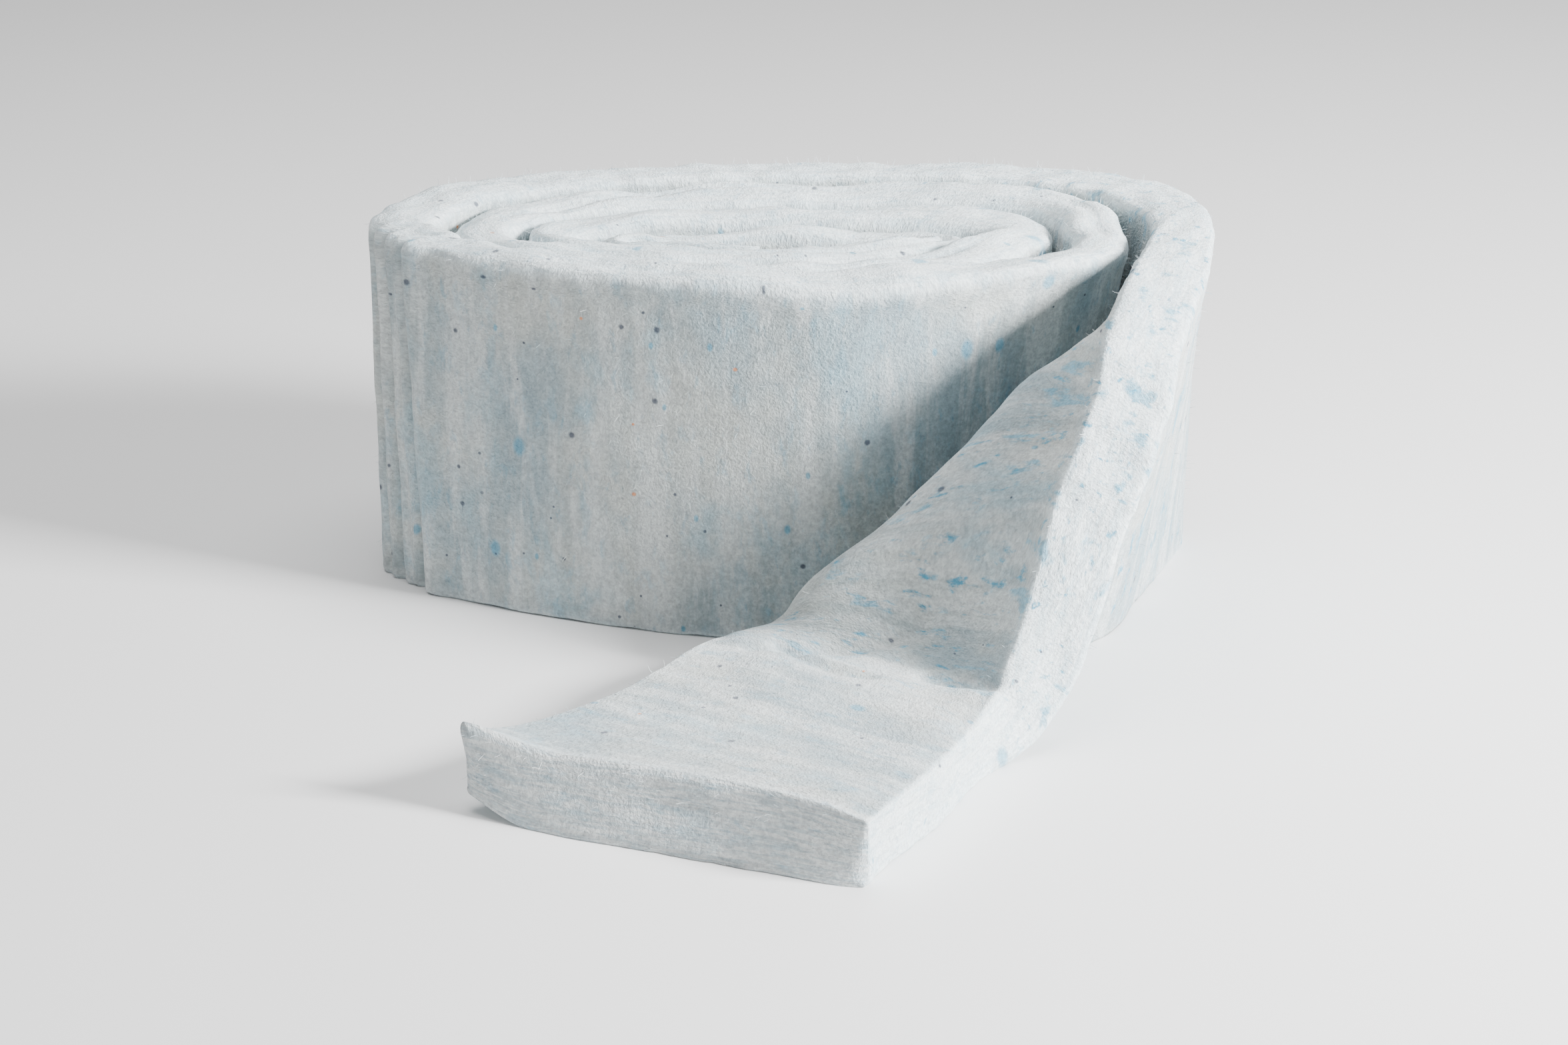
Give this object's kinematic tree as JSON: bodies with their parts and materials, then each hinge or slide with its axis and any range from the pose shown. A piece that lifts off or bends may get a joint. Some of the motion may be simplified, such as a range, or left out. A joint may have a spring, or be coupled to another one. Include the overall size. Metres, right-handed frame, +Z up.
{
  "type": "insulation roll",
  "caption": "Oval roll of soft fibre insulation blanket standing on its end, with its free tail folded out flat on the floor.",
  "frame": {"origin": "middle of the footprint's bounding box, on the floor", "axes": "+Z up along the roll's winding axis, +Y from the tail's cut end towards the back of the roll, +X to the right along the roll's long axis"},
  "size_m": [0.8258, 0.8922, 0.37],
  "materials": {
    "fibre_blanket": "matte fibre felt"
  },
  "bodies": {
    "root": {"insulation_blanket": "fibre_blanket"}
  },
  "joints": []
}
